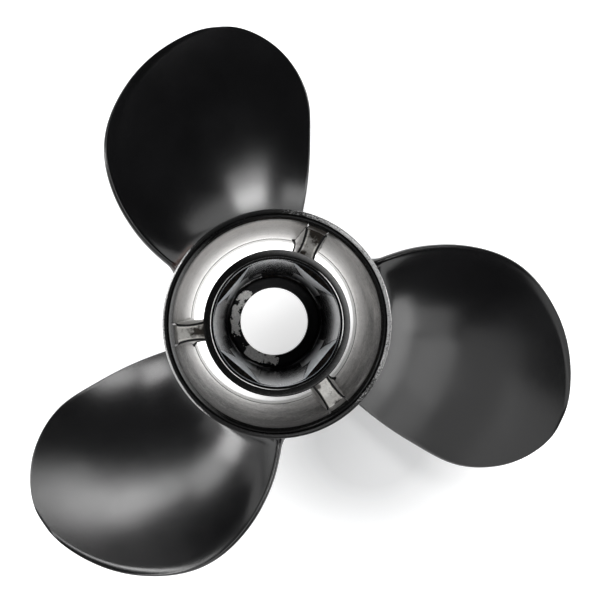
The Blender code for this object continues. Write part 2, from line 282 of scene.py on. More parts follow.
def spread(start, end, steps):
    return [start + (end - start) * step / steps for step in range(steps + 1)]


def smooth_step(low, high, at):
    share = min(max((at - low) / (high - low), 0), 1)
    return share * share * (3 - 2 * share)


def round_corner(centre, radius, start, end, steps):
    """Points of a rounded corner in the (radius, z) plane, between two angles in degrees."""
    points = []
    for turn in spread(start, end, steps):
        angle = math.radians(turn)
        points.append((centre[0] + radius * math.cos(angle), centre[1] + radius * math.sin(angle)))
    return points


def direction(azimuth, polar):
    """A unit vector at an azimuth and an angle from overhead, in degrees."""
    azimuth, polar = math.radians(azimuth), math.radians(polar)
    flat = math.sin(polar)
    return Vector((flat * math.cos(azimuth), flat * math.sin(azimuth), math.cos(polar)))


def turn_from_rib(angle):
    """Angle from the nearest rib's middle, in radians."""
    return (angle - RIB_ANGLE + THIRD / 2) % THIRD - THIRD / 2


def at_radius(point, radius):
    """The point moved straight out from the shaft's axis, or in, to a radius."""
    flat = math.hypot(point.x, point.y)
    return Vector((point.x * radius / flat, point.y * radius / flat, point.z))


def add_piece(name, mesh, finishes, nodes, sharp_degrees=32):
    piece = bpy.data.objects.new(name, mesh)
    bpy.context.scene.collection.objects.link(piece)
    for finish in finishes:
        mesh.materials.append(finish)
    mesh.shade_smooth()
    mesh.set_sharp_from_angle(angle=math.radians(sharp_degrees))
    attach(piece, "root")
    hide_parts(*nodes)


def wrap(shape, near, far, slot=0):
    """Quads between two closed loops of vertices."""
    for i in range(len(near)):
        j = (i + 1) % len(near)
        shape.faces.new((near[i], near[j], far[j], far[i])).material_index = slot


def closed_mesh(name, shape):
    """The mesh of a closed shape, with its faces turned outwards."""
    mesh = bpy.data.meshes.new(name)
    bmesh.ops.recalc_face_normals(shape, faces=shape.faces)
    shape.to_mesh(mesh)
    shape.free()
    return mesh


def ring_mesh(name, rows, slots):
    """A closed ring through rows of points that go round it; slots[i] is for rows i to i + 1."""
    shape = bmesh.new()
    loops = [[shape.verts.new(point) for point in row] for row in rows]
    for near, far, slot in zip(loops, loops[1:] + loops[:1], slots):
        wrap(shape, near, far, slot)
    return closed_mesh(name, shape)


def flared_radius(z, rise, length):
    """Outer radius of a barrel whose flare rises so far by this length."""
    taper = BARREL_TAPER * min(z, FLARE_START) / FLARE_START
    flare = max(z - FLARE_START, 0) / (length - FLARE_START)
    return BARREL_FRONT_RADIUS + taper + rise * min(flare, 1) ** FLARE_POWER


def barrel_radius(z):
    return flared_radius(z, FLARE_RISE, HUB_LENGTH)


def wall_radius(z):
    """Radius of the barrel's inner wall."""
    run = (z - FRONT_LIP_DEPTH) / (HUB_LENGTH - RIM_STEP_DEPTH - FRONT_LIP_DEPTH)
    return WALL_FRONT_RADIUS + (WALL_AFT_RADIUS - WALL_FRONT_RADIUS) * run


def pad_height(angle, z):
    """How far the wall stands in behind each rib, where the rib's outline runs on to the rim."""
    place = abs(turn_from_rib(angle)) * WALL_AFT_RADIUS
    across = 1 - smooth_step(PAD_HALF_WIDTH - PAD_EDGE, PAD_HALF_WIDTH, place)
    return PAD_RISE * across * smooth_step(RIB_AFT - PAD_RUN_UP, RIB_AFT - PAD_START, z)


def barrel_angles():
    """Angles of the barrel's columns, which stand close together at the pads' edges."""
    angles = [math.tau * column / BARREL_COLUMNS for column in range(BARREL_COLUMNS)]
    for number in range(RIB_COUNT):
        for side in (-1, 1):
            for place in spread(*PAD_EDGE_REACH, PAD_COLUMNS):
                turn = side * place / WALL_AFT_RADIUS
                angles.append((RIB_ANGLE + number * THIRD + turn) % math.tau)
    return sorted(angles)


def darken_pad_edges(mesh, wall, paint):
    """Gives the step round each pad the rim's black paint."""
    for polygon in mesh.polygons:
        x, y, z = polygon.center
        place = abs(turn_from_rib(math.atan2(y, x))) * WALL_AFT_RADIUS
        beside = PAD_HALF_WIDTH - 1.3 * PAD_EDGE < place < PAD_HALF_WIDTH + 0.3 * PAD_EDGE
        if polygon.material_index == wall and z > RIB_AFT + PAD_START and beside:
            polygon.material_index = paint


def rim_profile():
    """The rim's outer side in the (radius, z) plane: a low crown, then a tight round edge."""
    last = 90 - RIM_CROWN_TILT
    crown_centre = (RIM_CROWN_START, HUB_LENGTH - RIM_CROWN_RADIUS)
    crown = round_corner(crown_centre, RIM_CROWN_RADIUS, RIM_CROWN_FIRST, last, 6)
    edge_centre = (
        crown[-1][0] - RIM_EDGE_RADIUS * math.cos(math.radians(last)),
        crown[-1][1] - RIM_EDGE_RADIUS * math.sin(math.radians(last)),
    )
    return crown + round_corner(edge_centre, RIM_EDGE_RADIUS, last, 0, 10)[1:]


def barrel_profile():
    """The barrel's section, from its crown out over the rim and round: finish, radius and z.

    Here and in the core, rows a fraction of a millimetre apart keep an edge crisp.
    """
    rim = rim_profile()
    widest, flare_end = rim[-1]
    rise = widest - BARREL_FRONT_RADIUS - BARREL_TAPER
    step = HUB_LENGTH - RIM_STEP_DEPTH
    profile = [("band", radius, z) for radius, z in rim]
    side = spread(flare_end - 0.0004, FRONT_CHAMFER, BARREL_SIDE_ROWS)
    profile += [("paint", flared_radius(z, rise, flare_end), z) for z in side]
    profile += [("paint", BARREL_FRONT_RADIUS - FRONT_CHAMFER, 0.0), ("paint", FRONT_FACE_RADIUS, 0.0)]
    profile += [(finish, FRONT_LIP_RADIUS + out, z) for finish, out, z in LIP_PROFILE]
    wall = spread(LIP_PROFILE[-1][2], step - 0.0004, BARREL_WALL_ROWS)
    profile += [("wall", wall_radius(z), z) for z in wall]
    profile.append(("paint", WALL_AFT_RADIUS + 0.00003, step + 0.0001))
    for finish, out, depth in RIDGE_PROFILE:
        profile.append((finish, RIM_RIDGE_RADIUS + out, HUB_LENGTH - depth))
    return profile


def build_barrel(finishes):
    """The barrel with its flare, its rim and the lip inside its front end."""
    names = list(finishes)
    rows, slots = [], []
    for finish, radius, z in barrel_profile():
        inside = radius < wall_radius(z) + 0.0001 and z > FRONT_LIP_DEPTH
        row = []
        for angle in barrel_angles():
            at = radius - (pad_height(angle, z) if inside else 0)
            row.append((at * math.cos(angle), at * math.sin(angle), z))
        rows.append(row)
        slots.append(names.index(finish))
    mesh = ring_mesh("hub_barrel_skin", rows, slots)
    darken_pad_edges(mesh, names.index("wall"), names.index("paint"))
    nodes = ("hub_barrel", "flare_ring")
    add_piece("hub_barrel_skin", mesh, finishes.values(), nodes)


def cavity_cone(z):
    """Radius of the cavity's round wall."""
    run = (z - CAVITY_FLOOR) / (INNER_HUB_AFT - MOUTH_DEPTH - CAVITY_FLOOR)
    return CAVITY_FLOOR_RADIUS + (CAVITY_MOUTH_RADIUS - CAVITY_FLOOR_RADIUS) * run


def core_row(z, radius, flat_distance=None):
    """Points round the core at one height, with columns that follow the corners of its flats."""
    reach = flat_distance or CAVITY_FLAT_DISTANCE
    round_radius = radius if flat_distance else CAVITY_MOUTH_RADIUS
    half = max(math.acos(min(reach / round_radius, 1)), math.radians(2))
    row = []
    for quarter in range(4):
        middle = CAVITY_FLAT_ANGLE + quarter * math.pi / 2
        turns = [-half + 2 * half * k / FLAT_COLUMNS for k in range(FLAT_COLUMNS)]
        arc = math.pi / 2 - 2 * half
        turns += [half + arc * k / ARC_COLUMNS for k in range(ARC_COLUMNS)]
        for turn in turns:
            at = radius
            if flat_distance and abs(turn) < half + 1e-9:
                at = min(radius, flat_distance / math.cos(turn))
            angle = middle + turn
            row.append((at * math.cos(angle), at * math.sin(angle), z))
    return row


def core_side():
    """The inner hub's outer side and its crowned end ring: finish, height and radius."""
    aft, hub = INNER_HUB_AFT, INNER_HUB_RADIUS
    profile = []
    for z in spread(INNER_HUB_FRONT + HUB_BEVEL, aft - 0.0010, 50):
        profile.append(("wall" if z < aft - HUB_PAINTED_END else "paint", z, hub))
    ring_centre = (hub - RING_ROUND, aft - RING_ROUND - RING_CROWN)
    profile += [("ring", z, radius) for radius, z in round_corner(ring_centre, RING_ROUND, 0, 80, 5)]
    inside = MOUTH_RADIUS + MOUTH_EDGE + 0.0003
    for radius in spread(hub - 0.0008, inside, 8):
        drop = RING_CROWN * ((radius - inside) / (hub - inside)) ** 2
        profile.append(("ring", aft - drop, radius))
    return profile


def core_mouth():
    """The mouth's rounded edge, its short round wall and the ledge under it."""
    ledge = INNER_HUB_AFT - MOUTH_DEPTH
    edge_centre = (MOUTH_RADIUS + MOUTH_EDGE, INNER_HUB_AFT - MOUTH_EDGE)
    profile = [("edge", z, radius) for radius, z in round_corner(edge_centre, MOUTH_EDGE, 90, 180, 5)]
    wall = spread(INNER_HUB_AFT - MOUTH_EDGE - 0.0003, ledge + 0.0002, 4)
    profile += [("paint", z, MOUTH_RADIUS) for z in wall]
    profile += [("paint", ledge, MOUTH_RADIUS - 0.0002), ("paint", ledge, CAVITY_MOUTH_RADIUS + 0.0003)]
    return profile


def core_cavity():
    """The cavity down to its floor; a fourth value is the distance of the flats from the axis."""
    ledge = INNER_HUB_AFT - MOUTH_DEPTH
    shelf = ledge - SHELF_DEPTH
    profile = [("round", ledge - 0.00006, CAVITY_MOUTH_RADIUS + 0.0001)]
    profile += [("round", z, cavity_cone(z)) for z in spread(ledge - 0.0002, shelf + 0.0001, 6)]
    profile.append(("shelf", shelf, cavity_cone(shelf)))
    for k in range(1, SHELF_ROWS + 1):
        z = shelf - 0.00002 * k
        reach = CAVITY_FLAT_DISTANCE + SHELF_REACH * (1 - k / SHELF_ROWS) + FLAT_EDGE
        profile.append(("shelf", z, cavity_cone(z), reach))
    z = shelf - 0.00015
    # The flats' top edge has its own paint, a painted highlight line
    profile.append(("flat_edge", z, cavity_cone(z), CAVITY_FLAT_DISTANCE + FLAT_EDGE))
    for z in spread(shelf - 0.0005, CAVITY_FLOOR - FLOOR_STEP + 0.0004, 80):
        profile.append(("round", z, cavity_cone(z), CAVITY_FLAT_DISTANCE))
    return profile


def core_front():
    """The cavity's stepped floor, the shaft's hole and the inner hub's front face."""
    floor, front, hole = CAVITY_FLOOR, INNER_HUB_FRONT, SHAFT_HOLE_RADIUS
    profile = [
        ("shelf", floor - FLOOR_STEP, CAVITY_FLOOR_RADIUS - 0.0004),
        ("shelf", floor - FLOOR_STEP, FLOOR_STEP_RADIUS + 0.0004),
        ("floor", floor - 0.0002, FLOOR_STEP_RADIUS + 0.00005),
        ("floor", floor, FLOOR_STEP_RADIUS - 0.0003),
    ]
    ring = spread(FLOOR_STEP_RADIUS - 0.0012, hole + 0.0006, 8)
    profile += [("floor", floor, radius) for radius in ring]
    profile += [("floor", floor - 0.0001, hole + 0.0002), ("floor", floor - 0.0004, hole)]
    profile += [("paint", z, hole) for z in spread(floor - 0.0012, front + 0.0004, 6)]
    face = (hole + 0.0004, CAVITY_FLOOR_RADIUS, INNER_HUB_RADIUS - HUB_BEVEL)
    return profile + [("paint", front, radius) for radius in face]


def paint_flats(mesh, wall, flat):
    """Gives the flats, and the wall below their ends, the flats' own paint."""
    quarter = math.pi / 2
    for polygon in mesh.polygons:
        x, y, z = polygon.center
        turn = abs((math.atan2(y, x) - CAVITY_FLAT_ANGLE + quarter / 2) % quarter - quarter / 2)
        on_flat = math.hypot(x, y) < cavity_cone(z) - LEAST_FLAT
        below = z < FLAT_FOOT and turn < FLAT_FOOT_TURN
        if polygon.material_index == wall and (on_flat or below):
            polygon.material_index = flat


def build_core(finishes):
    """The inner hub, from its outer side over its end ring and down the cavity to the front."""
    names = list(finishes)
    rows, slots = [], []
    for finish, z, radius, *flat in core_side() + core_mouth() + core_cavity() + core_front():
        rows.append(core_row(z, radius, *flat))
        slots.append(names.index(finish))
    mesh = ring_mesh("hub_core_skin", rows, slots)
    paint_flats(mesh, names.index("round"), names.index("flat"))
    nodes = ("inner_hub", "mouth_ring", "thrust_floor")
    add_piece("hub_core_skin", mesh, finishes.values(), nodes)


def fillet_growth(from_end, fillet):
    """How much a fillet widens each side of the rib, this far from the wall it runs into."""
    drop = min(max(fillet - from_end, 0), FILLET_SHARE * fillet)
    return fillet - math.sqrt(fillet**2 - drop**2)


def rib_half_width(z, radius, share, phase):
    """Half the rib's width, with its draft, waist and fillets, and a little of the sand's waver."""
    run = (z - RIB_FRONT) / (RIB_AFT - RIB_FRONT)
    half = (RIB_FRONT_WAIST + (RIB_AFT_WAIST - RIB_FRONT_WAIST) * run) / 2
    half += RIB_FLARE * (share - RIB_WAIST_PLACE) ** 2
    fillet = RIB_FRONT_FILLET + (RIB_AFT_FILLET - RIB_FRONT_FILLET) * run
    half += fillet_growth(min(radius - INNER_HUB_RADIUS, wall_radius(z) - radius), fillet)
    return half + 0.00012 * math.sin(210 * z + phase) + 0.0001 * math.sin(330 * radius + 2 * phase)


def rib_point(z, side, inset, share, phase):
    """A point on one side of the rib, which spreads to a lip at the front of its +1 side."""
    radius = INNER_HUB_RADIUS - RIB_SINK
    radius += (wall_radius(z) - INNER_HUB_RADIUS + 2 * RIB_SINK) * share
    half = rib_half_width(z, radius, share, phase)
    if side > 0:
        reach = max(1 - (z - RIB_FRONT) / RIB_LIP_LENGTH, 0)
        half += RIB_LIP * reach**2 * (0.6 + 0.8 * smooth_step(0.75, 1.0, share))
    across = side * (half - inset) / radius
    return Vector((radius * math.cos(across), radius * math.sin(across), z))


def rib_corner(end, side, share, phase):
    """A rounded edge of the rib, from its side on to its aft or front face."""
    height, outward = end
    corner = []
    for k in range(RIB_EDGE_STEPS + 1):
        angle = math.pi / 2 * k / RIB_EDGE_STEPS
        inset = RIB_EDGE * (1 - math.cos(angle))
        rise = RIB_EDGE * (math.sin(angle) - 1)
        corner.append((rib_point(height + outward * rise, side, inset, share, phase), side, 1.0))
    return corner


def rib_face(start, end, outward, share, phase):
    """Points across the rib's aft or front face, which casting has left a little uneven."""
    points = []
    for step in range(1, RIB_CROSS_STEPS):
        run = step / RIB_CROSS_STEPS
        point = start.lerp(end, run)
        uneven = 0.00016 * math.sin(5 * share + phase) + 0.0001 * math.sin(9 * run + 3 * phase)
        hollow = 0.0005 * math.exp(-(((share - 0.18) / 0.16) ** 2))
        rise = 0.0009 * smooth_step(0.88, 1.0, share)
        point.z += outward * math.sin(math.pi * run) * (uneven - hollow + rise)
        dark = outward < 0 or share > 0.97
        points.append((point, outward * (1 - 2 * run), 1.0 if dark else 0.0))
    return points


def rib_section(share, phase):
    """One closed section across the rib: points, each with its place across and its edge darkness."""
    aft, front = (RIB_AFT, 1), (RIB_FRONT, -1)
    heights = spread(RIB_FRONT + RIB_EDGE, RIB_AFT - RIB_EDGE, RIB_SIDE_STEPS)[1:-1]
    heights = [heights[0] - 0.0022] + heights + [RIB_AFT - RIB_EDGE - 0.0004]
    loop = rib_corner(front, 1, share, phase)[::-1]
    loop += [(rib_point(z, 1, 0, share, phase), 1, 0.0) for z in heights]
    loop += rib_corner(aft, 1, share, phase)
    far = rib_corner(aft, -1, share, phase)[::-1]
    loop += rib_face(loop[-1][0], far[0][0], 1, share, phase) + far
    loop += [(rib_point(z, -1, 0, share, phase), -1, 0.0) for z in reversed(heights)]
    loop += rib_corner(front, -1, share, phase)
    return loop + rib_face(loop[-1][0], loop[0][0], -1, share, phase)


def rib_mesh(name, turn, phase):
    """The rib's skin, in sections that stand close together at both of its ends."""
    shape = bmesh.new()
    marks = [shape.verts.layers.float.new(mark) for mark in RIB_MARKS]
    loops = []
    for station in range(RIB_STATIONS + 1):
        share = (1 - math.cos(math.pi * station / RIB_STATIONS)) / 2
        row = []
        for point, across, edge in rib_section(share, phase):
            vert = shape.verts.new(turn @ point)
            for mark, value in zip(marks, (share, across, edge)):
                vert[mark] = value
            row.append(vert)
        loops.append(row)
    for near, far in zip(loops, loops[1:]):
        wrap(shape, near, far)
    ends = [shape.faces.new(loops[0][::-1]), shape.faces.new(loops[-1])]
    bmesh.ops.triangulate(shape, faces=ends)
    return closed_mesh(name, shape)


def build_ribs():
    for number in range(RIB_COUNT):
        name = f"rib_{number + 1}"
        turn = Matrix.Rotation(RIB_ANGLE + number * THIRD, 4, "Z")
        mesh = rib_mesh(name + "_skin", turn, 1.3 + 2.1 * number)
        cast = cast_rib(name + "_cast", RIB_PAINTED_LIGHT[number], RIB_STAINS[number])
        add_piece(name + "_skin", mesh, (cast,), (name,), 40)


def smooth_value(knots, values, at):
    """Catmull-Rom interpolation through the values at the knots."""
    last = len(knots) - 1
    at = min(max(at, knots[0]), knots[-1])
    i = max(k for k in range(last) if knots[k] <= at)
    run = knots[i + 1] - knots[i]
    slopes = []
    for k in (i, i + 1):
        before, after = max(k - 1, 0), min(k + 1, last)
        slopes.append((values[after] - values[before]) / (knots[after] - knots[before]))
    t = (at - knots[i]) / run
    rise = (2 * t**3 - 3 * t**2 + 1) * values[i] + (3 * t**2 - 2 * t**3) * values[i + 1]
    return rise + run * ((t**3 - 2 * t**2 + t) * slopes[0] + (t**3 - t**2) * slopes[1])


def edge_angles(radius):
    """Angles of the leading and the trailing edge at a radius, in radians."""
    knots = [math.sqrt(depth) for depth, _, _ in BLADE_OUTLINE]
    at = math.sqrt(max(TIP_RADIUS - radius, 0))
    lead = smooth_value(knots, [row[1] for row in BLADE_OUTLINE], at)
    trail = smooth_value(knots, [row[2] for row in BLADE_OUTLINE], at)
    return math.radians(lead), math.radians(trail)


def helicoid(radius, angle):
    """A point of the blade's middle surface, and the surface's normal there, which faces aft."""
    lift = PITCH / math.tau
    z = DATUM_HEIGHT + lift * (angle - DATUM_ANGLE) + RAKE * (radius - DATUM_RADIUS)
    out = Vector((math.cos(angle), math.sin(angle), 0))
    round_way = Vector((-math.sin(angle), math.cos(angle), 0))
    along_radius = out + Vector((0, 0, RAKE))
    along_helix = radius * round_way + Vector((0, 0, lift))
    return radius * out + Vector((0, 0, z)), along_radius.cross(along_helix).normalized()


def rounding(distance, radius):
    """Share of the full thickness that is left this close to a round edge."""
    if distance >= radius:
        return 1.0
    return math.sqrt(max(1 - (1 - distance / radius) ** 2, 0))


def chord_places(chord, edge):
    """Distances along the chord, set close together where the two edges are rounded."""
    turn = [edge * (1 - math.cos(math.pi / 2 * k / EDGE_STEPS)) for k in range(EDGE_STEPS + 1)]
    flat = chord - 2 * edge
    middle = [edge + flat * k / CHORD_STEPS for k in range(1, CHORD_STEPS)]
    return turn + middle + [chord - place for place in reversed(turn)]


def blade_loop(height, side_growth, edge_growth):
    """One closed section: the face that looks aft, and then the back of the blade."""
    radius = barrel_radius(DATUM_HEIGHT) + height
    lead, trail = edge_angles(radius)
    stretch = math.hypot(radius, PITCH / math.tau)
    chord = stretch * (trail - lead) + 2 * edge_growth
    start = lead - edge_growth / stretch
    share = min(max((radius - DATUM_RADIUS) / (TIP_RADIUS - DATUM_RADIUS), 0), 1)
    thickest = ROOT_THICKNESS + (TIP_THICKNESS - ROOT_THICKNESS) * share**0.8
    blunt = EDGE_SHARE + (1 - EDGE_SHARE) * share
    edge = min(thickest * blunt / 2 + side_growth, chord * 0.45)
    tip = rounding(TIP_RADIUS - radius, TIP_THICKNESS / 2)
    aft_share = FACE_SHARE + (0.5 - FACE_SHARE) * share
    cup_rise = CUP_RISE * min(chord / CUP_FULL_CHORD, 1)
    face, back = [], []
    for place in chord_places(chord, edge):
        point, normal = helicoid(radius, start + place / stretch)
        swell = blunt + (1 - blunt) * (1 - (2 * place / chord - 0.9) ** 2 / 1.21)
        thick = thickest * swell * tip + 2 * side_growth
        thick *= rounding(min(place, chord - place), edge)
        cup = max(1 - (chord - place) / CUP_WIDTH, 0) ** 2 * cup_rise
        face.append(seated(point + normal * (cup + aft_share * thick), radius, height))
        back.append(seated(point + normal * (cup - (1 - aft_share) * thick), radius, height))
    return face, back


def seated(point, radius, height):
    """Moves a section's point along its radius, so that sections near the root follow the barrel."""
    follow = max(1 - height / ROOT_FOLLOW, 0)
    return at_radius(point, radius + follow * (barrel_radius(point.z) + height - radius))


def blade_loops():
    """The blade's sections, up the root's fillet and then out to the tip."""
    loops = []
    for step in range(FILLET_STEPS + 1):
        angle = math.pi / 2 * step / FILLET_STEPS
        height = ROOT_FILLET * (1 - math.cos(angle)) - ROOT_SINK
        growth = 1 - math.sin(angle)
        loops.append(blade_loop(height, ROOT_FILLET * growth, EDGE_FILLET * growth))
    root_radius = barrel_radius(DATUM_HEIGHT)
    first = math.sqrt(TIP_RADIUS - root_radius + ROOT_SINK - ROOT_FILLET)
    last = math.sqrt(LEAST_DEPTH)
    for root_depth in spread(first, last, SPAN_STEPS)[1:]:
        loops.append(blade_loop(TIP_RADIUS - root_radius - root_depth**2, 0, 0))
    return loops


def root_strip(face, back, share):
    """A line of points across the blade's root, just under the barrel's surface."""
    line = []
    for a, b in zip(face, back):
        middle = a.lerp(b, share)
        line.append(at_radius(middle, barrel_radius(middle.z) - ROOT_SINK))
    return line


def skin(shape, rows):
    """Quads between neighbouring rows of vertices; a quad with two corners alike is a triangle."""
    for near, far in zip(rows, rows[1:]):
        for i in range(len(near) - 1):
            corners = []
            for vert in (near[i], near[i + 1], far[i + 1], far[i]):
                if vert not in corners:
                    corners.append(vert)
            if len(corners) > 2:
                shape.faces.new(corners)


def blade_mesh():
    shape = bmesh.new()
    loops = blade_loops()
    face_rows, back_rows = [], []
    for face, back in loops:
        face_row = [shape.verts.new(point) for point in face]
        inner = [shape.verts.new(point) for point in back[1:-1]]
        face_rows.append(face_row)
        back_rows.append([face_row[0]] + inner + [face_row[-1]])
    first, last = face_rows[0][0], face_rows[0][-1]
    root_rows = [face_rows[0]]
    for strip in range(1, ROOT_STRIPS):
        line = root_strip(*loops[0], strip / ROOT_STRIPS)[1:-1]
        root_rows.append([first] + [shape.verts.new(point) for point in line] + [last])
    root_rows.append(back_rows[0])
    skin(shape, face_rows)
    skin(shape, back_rows)
    skin(shape, root_rows)
    skin(shape, [face_rows[-1], back_rows[-1]])
    return closed_mesh("blade_skin", shape)


def build_blades(paint):
    first = blade_mesh()
    for number in range(BLADE_COUNT):
        mesh = first.copy()
        mesh.transform(Matrix.Rotation(number * THIRD, 4, "Z"))
        name = f"blade_{number + 1}"
        add_piece(name + "_skin", mesh, (paint,), (name,), 60)
    bpy.data.meshes.remove(first)


def fill(tree, node, inputs):
    """Links each input that is given as a socket, and sets each other one on the node itself."""
    for key, value in inputs.items():
        if isinstance(value, bpy.types.NodeSocket):
            tree.links.new(value, node.inputs[key])
        else:
            node.inputs[key].default_value = value


def add_node(tree, kind, inputs, **settings):
    node = tree.nodes.new(kind)
    for key, value in settings.items():
        setattr(node, key, value)
    fill(tree, node, inputs)
    return node


class Look:
    """A new material, with short names for the shader nodes that it is made of."""

    def __init__(self, name):
        self.material = bpy.data.materials.new(name)
        self.material.use_nodes = True
        self.tree = self.material.node_tree
        self.shader = self.tree.nodes["Principled BSDF"]
        self.place = self.node("ShaderNodeTexCoord", {}).outputs["Object"]

    def node(self, kind, inputs, **settings):
        return add_node(self.tree, kind, inputs, **settings)

    def finish(self, colour, rough, normal=None, metallic=0.0, specular=0.5):
        """Connects the shader and returns the material; a plain number is set on the shader."""
        inputs = {"Base Color": colour, "Roughness": rough, "Metallic": metallic}
        inputs["Specular IOR Level"] = specular
        if normal:
            inputs["Normal"] = normal
        fill(self.tree, self.shader, inputs)
        return self.material

    def math(self, operation, first, second=0.0):
        inputs = {0: first, 1: second}
        return self.node("ShaderNodeMath", inputs, operation=operation).outputs["Value"]

    def add(self, total, *others):
        for other in others:
            total = self.math("ADD", total, other)
        return total

    def less(self, first, second):
        return self.math("SUBTRACT", first, second)

    def times(self, first, second):
        return self.math("MULTIPLY", first, second)

    def most(self, first, second):
        return self.math("MAXIMUM", first, second)

    def ramp(self, value, low, high, start=0.0, end=1.0):
        """Maps a value from low..high to start..end, held at both ends."""
        inputs = {"Value": value, "From Min": low, "From Max": high, "To Min": start, "To Max": end}
        return self.node("ShaderNodeMapRange", inputs).outputs["Result"]

    def fall(self, value, low, high, start=1.0):
        """Falls from start to 0 as the value goes from low to high."""
        return self.ramp(value, low, high, start, 0.0)

    def vary(self, noise, start=0.0, end=1.0):
        """Maps the middle of a noise's range, where most of it lies, to start..end."""
        return self.ramp(noise, 0.3, 0.7, start, end)

    def blend(self, share, first, second):
        """Mixes two colours, each a socket or an RGB triple."""
        colours = [(*value, 1.0) if isinstance(value, tuple) else value for value in (first, second)]
        inputs = {0: share, 6: colours[0], 7: colours[1]}
        return self.node("ShaderNodeMix", inputs, data_type="RGBA").outputs[2]

    def noise(self, scale, detail, rough, stretch=None):
        place = self.place
        if stretch:
            place = self.node("ShaderNodeMapping", {"Vector": place, "Scale": stretch}).outputs["Vector"]
        inputs = {"Vector": place, "Scale": scale, "Detail": detail, "Roughness": rough}
        return self.node("ShaderNodeTexNoise", inputs).outputs["Fac"]

    def bump(self, height, distance, under=None):
        """A bumped normal, on top of another one or of the plain surface."""
        inputs = {"Height": height, "Distance": distance, "Strength": 1.0}
        if under:
            inputs["Normal"] = under
        return self.node("ShaderNodeBump", inputs).outputs["Normal"]

    def mark(self, name):
        """A value that the mesh carries on its vertices."""
        return self.node("ShaderNodeAttribute", {}, attribute_name=name).outputs["Fac"]

    def height(self):
        return self.node("ShaderNodeSeparateXYZ", {"Vector": self.place}).outputs["Z"]

    def radius(self):
        """Distance from the shaft's axis, in metres."""
        inputs = {0: self.place, 1: (1.0, 1.0, 0.0)}
        flat = self.node("ShaderNodeVectorMath", inputs, operation="MULTIPLY").outputs[0]
        return self.node("ShaderNodeVectorMath", {0: flat}, operation="LENGTH").outputs["Value"]

    def away_from(self, point):
        """Distance from a point, in metres."""
        inputs = {0: self.place, 1: point}
        return self.node("ShaderNodeVectorMath", inputs, operation="DISTANCE").outputs["Value"]

    def towards(self, azimuth):
        """How far a point lies out in one direction, in metres."""
        inputs = {0: self.place, 1: direction(azimuth, 90)}
        return self.node("ShaderNodeVectorMath", inputs, operation="DOT_PRODUCT").outputs["Value"]

    def turn_from(self, start):
        """Angle round the shaft's axis from a starting angle, in radians."""
        parts = self.node("ShaderNodeSeparateXYZ", {"Vector": self.place}).outputs
        return self.less(self.math("ARCTAN2", parts["Y"], parts["X"]), start)


def satin_paint(name, shade, rough, peel):
    """Black satin paint: faint cloudiness, dust nibs and the orange peel of a sprayed coat."""
    look = Look(name)
    clouds = look.noise(22, 3, 0.55)
    grain = look.noise(1400, 2, 0.6)
    colour = look.blend(look.ramp(clouds, 0.35, 0.65), shade, tuple(part * 1.5 for part in shade))
    cells = look.node("ShaderNodeTexVoronoi", {"Vector": look.place, "Scale": 260.0})
    nibs = look.fall(cells.outputs["Distance"], 0.05, 0.09)
    colour = look.blend(look.times(nibs, 0.3), colour, DUST_GREY)
    # A painted brownish reflection on the first blade's root, next to the rim
    brown_sheen = look.fall(look.away_from(BROWN_SHEEN_PLACE), 0.008, 0.014)
    near_hub = look.fall(look.radius(), 0.0634, 0.0656, 0.9)
    colour = look.blend(look.times(brown_sheen, near_hub), colour, SHEEN_BROWN)
    normal = look.bump(look.noise(14, 2, 0.5), 0.00010)
    normal = look.bump(look.noise(620, 2, 0.5), peel, normal)
    cloudy = look.add(look.vary(clouds, -0.025, 0.025), rough)
    mottled = look.add(look.vary(grain, -0.03, 0.03), cloudy)
    return look.finish(colour, mottled, look.bump(grain, peel * 0.25, normal))


